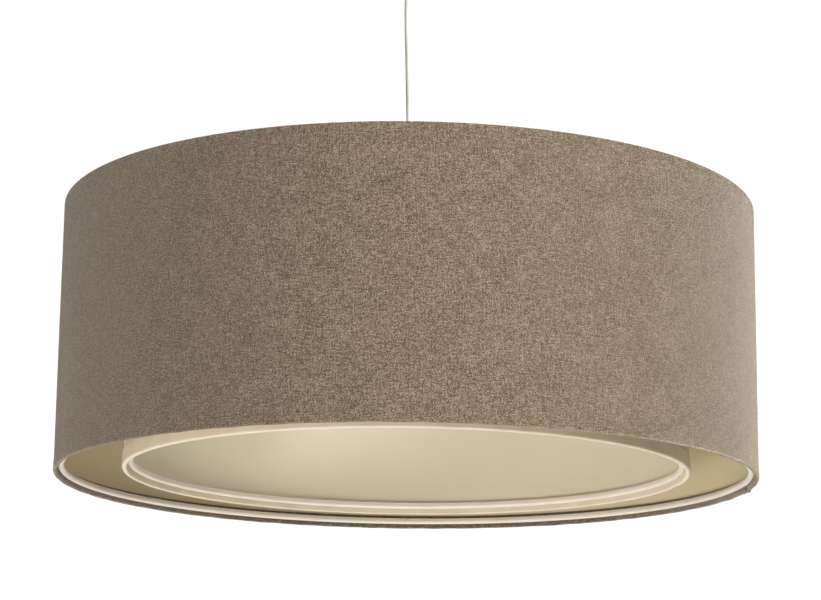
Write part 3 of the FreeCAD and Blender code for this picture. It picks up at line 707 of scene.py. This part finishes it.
# %% Lining film
def satin_film(name, tone):
    """A smooth cream film with faint grain along its height and soft clouds of shine."""
    f = Finish(name, Specular_IOR_Level=0.45)
    uv = f.add("ShaderNodeUVMap", uv_map="cloth").outputs[0]
    grain = f.noise(f.stretched(uv, (900.0, 60.0, 1.0)), 1.0, 2.0)
    cloud = f.noise(uv, 14.0, 3.0)
    f.colour(f.ramp(f.math("ADD", f.math("MULTIPLY", cloud, 0.7), f.math("MULTIPLY", grain, 0.3)),
                    [(0.25, tuple(c * 0.96 for c in tone)),
                     (0.75, tuple(c * 1.03 for c in tone))]))
    f.roughness(f.math("ADD", f.math("MULTIPLY", cloud, 0.10), 0.36))
    f.bump(grain, 0.00003)
    return f.material


# painted light: both linings are one cream film; the outer one is given a brighter, deeper gold
# tone that stands in for the warm light bounced round the narrow gap between the drums
outer_lining.data.materials.append(satin_film("outer_lining_satin_painted_bounce", (0.77, 0.67, 0.445)))
inner_lining.data.materials.append(satin_film("inner_lining_satin", (0.72, 0.65, 0.505)))
print("lining finishes", outer_lining.data.materials[0].name, inner_lining.data.materials[0].name)

# %% Ribbed tape
rib = Finish("ribbed_binding_tape", Roughness=0.7, Specular_IOR_Level=0.3, Sheen_Weight=0.1)
tape_uv = rib.add("ShaderNodeUVMap", uv_map="cloth").outputs[0]
tape_parts = rib.add("ShaderNodeSeparateXYZ", {0: tape_uv})
RIB_PITCH = 0.8 * MM
ribs = rib.math("SINE", rib.math("MULTIPLY", tape_parts.outputs[0], 2 * math.pi / RIB_PITCH))
soil = rib.noise(tape_uv, 40.0, 3.0)
# painted shade and highlight: the rib wave that gives the relief also darkens the grooves and
# lightens the crests in the colour, on top of the tape's random tone
rib.colour(rib.ramp(rib.math("ADD", rib.math("MULTIPLY", ribs, 0.08), soil),
                    [(0.3, (0.69, 0.59, 0.45)), (0.7, (0.77, 0.675, 0.53))]))
rib.bump(ribs, 0.00006)
tape.data.materials.append(rib.material)
print("tape finish", rib.material.name)

# %% White coated wire
coat = Finish("white_wire_coat", Roughness=0.38, Specular_IOR_Level=0.5)
coat_at = coat.add("ShaderNodeTexCoord").outputs["Object"]
uneven = coat.noise(coat_at, 220.0, 3.0)
coat.colour(coat.ramp(coat.noise(coat_at, 25.0, 3.0),
                      [(0.3, (0.70, 0.62, 0.53)), (0.7, (0.78, 0.70, 0.61))]))
coat.bump(uneven, 0.00008)
for ring in rings:
    ring.data.materials.append(coat.material)
print("ring finish", coat.material.name, "on", len(rings), "rings")


# %% Plastic, brass, steel and cord sheath
def moulded(name, tone, rough, grain_scale=900.0, grain_depth=0.00002):
    """Moulded plastic: a nearly even tone, fine spark-eroded grain and slight yellowing."""
    f = Finish(name, Specular_IOR_Level=0.5)
    where = f.add("ShaderNodeTexCoord").outputs["Object"]
    patch = f.noise(where, 30.0, 3.0)
    f.colour(f.ramp(patch, [(0.3, tuple(c * 0.95 for c in tone)), (0.7, tone)]))
    f.roughness(f.math("ADD", f.math("MULTIPLY", patch, 0.12), rough))
    f.bump(f.noise(where, grain_scale, 2.0), grain_depth)
    return f.material


def metal(name, tone, rough):
    """Plated metal with fine scratches all one way."""
    f = Finish(name, Metallic=1.0)
    where = f.add("ShaderNodeTexCoord").outputs["Object"]
    scratch = f.noise(f.stretched(where, (300.0, 300.0, 3000.0)), 1.0, 2.0)
    f.colour(f.ramp(scratch, [(0.3, tuple(c * 0.8 for c in tone)), (0.7, tone)]))
    f.roughness(f.math("ADD", f.math("MULTIPLY", scratch, 0.2), rough))
    f.bump(scratch, 0.00001)
    return f.material


white_plastic = moulded("white_moulded_plastic", (0.62, 0.61, 0.57), 0.35)
sheath = moulded("cord_sheath", (0.80, 0.79, 0.75), 0.42, 500.0)
brass = metal("brass_strip", (0.80, 0.62, 0.30), 0.28)
zinc = metal("zinc_plated_steel", (0.62, 0.62, 0.60), 0.32)
flex.data.materials.append(sheath)
by_slot = {"white_plastic": white_plastic, "cord_white": sheath, "brass": brass,
           "zinc_steel": zinc, "white_wire": coat.material}
slot_of = {part["node"]: part["material_slot"] for part in frame["record"]["subparts"]}
for node_name, node in frame["nodes"].items():
    if slot_of[node_name] in by_slot:
        node.data.materials.clear()
        node.data.materials.append(by_slot[slot_of[node_name]])
print("finishes on", sum(slot_of[n] in by_slot for n in frame["nodes"]), "carried-over nodes")

# %% [markdown]
# ## Studio
#
# A pale floor far below, and a room that is dark in front and white behind, so that both edges of
# the drum catch light from behind. A broad soft light stands on the right, a weaker one low on the
# left looks up into the drums, and two more hang straight above and straight below. The camera
# itself sees an even white backdrop.


# %% Floor, room and lights
def soft_light(name, place, target, width, height, power, colour):
    """A rectangular lamp at place, turned to face target.

    Its pitch is the angle of (place - target) from upright, and its heading is that of the same
    line seen from above.
    """
    data = bpy.data.lights.new(name, "AREA")
    data.shape = "RECTANGLE"
    data.size, data.size_y = width, height
    data.energy = power
    data.color = colour
    light = bpy.data.objects.new(name, data)
    bpy.context.scene.collection.objects.link(light)
    light.location = place
    away = np.array(place, float) - np.array(target, float)
    heading = math.atan2(away[0], -away[1])
    pitch = math.acos(away[2] / np.linalg.norm(away))
    light.rotation_euler = (pitch, 0, heading)
    return light


middle = (outer_bottom + outer_top) / 2
# each lamp: its name, its place from the drums' middle, its width and height, watts and colour
LAMPS = (("key_right", (2.15, -2.39, 0.6), (1.8, 1.6), 172, (1, 0.99, 0.975)),
         ("fill_low", (-1.2, -1.9, -1.5), (1.6, 1.2), 41, (1, 0.97, 0.92)),
         ("overhead", (0.0, -0.01, 2.6), (1.5, 1.5), 48, (1, 0.98, 0.95)),
         ("from_below", (0.0, -0.01, -2.4), (1.5, 1.5), 30, (1, 0.98, 0.95)))
for name, place, (width, height), power, colour in LAMPS:
    centre = np.array([0, 0, middle])
    soft_light(name, centre + place, centre, width, height, power, colour)

FLOOR_DROP = 5.2       # below the ceiling
FLOOR_REACH = 60.0     # from the middle to each side
floor_corners = [(x * FLOOR_REACH, y * FLOOR_REACH, -FLOOR_DROP)
                 for x, y in ((-1, -1), (1, -1), (1, 1), (-1, 1))]
floor_mesh = bpy.data.meshes.new("floor")
floor_mesh.from_pydata(floor_corners, [], [(0, 1, 2, 3)])
floor = bpy.data.objects.new("floor", floor_mesh)
bpy.context.scene.collection.objects.link(floor)
floor_finish = Finish("pale_floor", Base_Color=(0.86, 0.86, 0.85, 1), Roughness=0.8)
floor_mesh.materials.append(floor_finish.material)

# %% A room that is dark in front and white behind
world = bpy.data.worlds.new("room")
bpy.context.scene.world = world
world.use_nodes = True
room = world.node_tree
room_light = next(n for n in room.nodes if n.type == "BACKGROUND")
room_light.inputs["Color"].default_value = (1, 1, 1, 1)
direction = room.nodes.new("ShaderNodeTexCoord")
direction_parts = room.nodes.new("ShaderNodeSeparateXYZ")
behind = room.nodes.new("ShaderNodeMapRange")
behind.interpolation_type = "SMOOTHSTEP"
for socket, value in (("From Min", -0.1), ("From Max", 0.8), ("To Min", 0.0), ("To Max", 1.1)):
    behind.inputs[socket].default_value = value
room.links.new(direction.outputs["Generated"], direction_parts.inputs[0])
room.links.new(direction_parts.outputs["Y"], behind.inputs["Value"])
room.links.new(behind.outputs[0], room_light.inputs["Strength"])
backdrop = room.nodes.new("ShaderNodeBackground")
backdrop.inputs["Color"].default_value = (1, 1, 1, 1)
backdrop.inputs["Strength"].default_value = 1.05
seen = room.nodes.new("ShaderNodeLightPath")
choose = room.nodes.new("ShaderNodeMixShader")
world_output = next(n for n in room.nodes if n.type == "OUTPUT_WORLD")
room.links.new(seen.outputs["Is Camera Ray"], choose.inputs[0])
room.links.new(room_light.outputs[0], choose.inputs[1])
room.links.new(backdrop.outputs[0], choose.inputs[2])
room.links.new(choose.outputs[0], world_output.inputs[0])
bpy.context.scene.view_settings.view_transform = "Standard"
print("studio ready")

# %% [markdown]
# ## Last step
#
# The last cell brings every object's place up to date.

# %% Bring the scene up to date
bpy.context.view_layer.update()
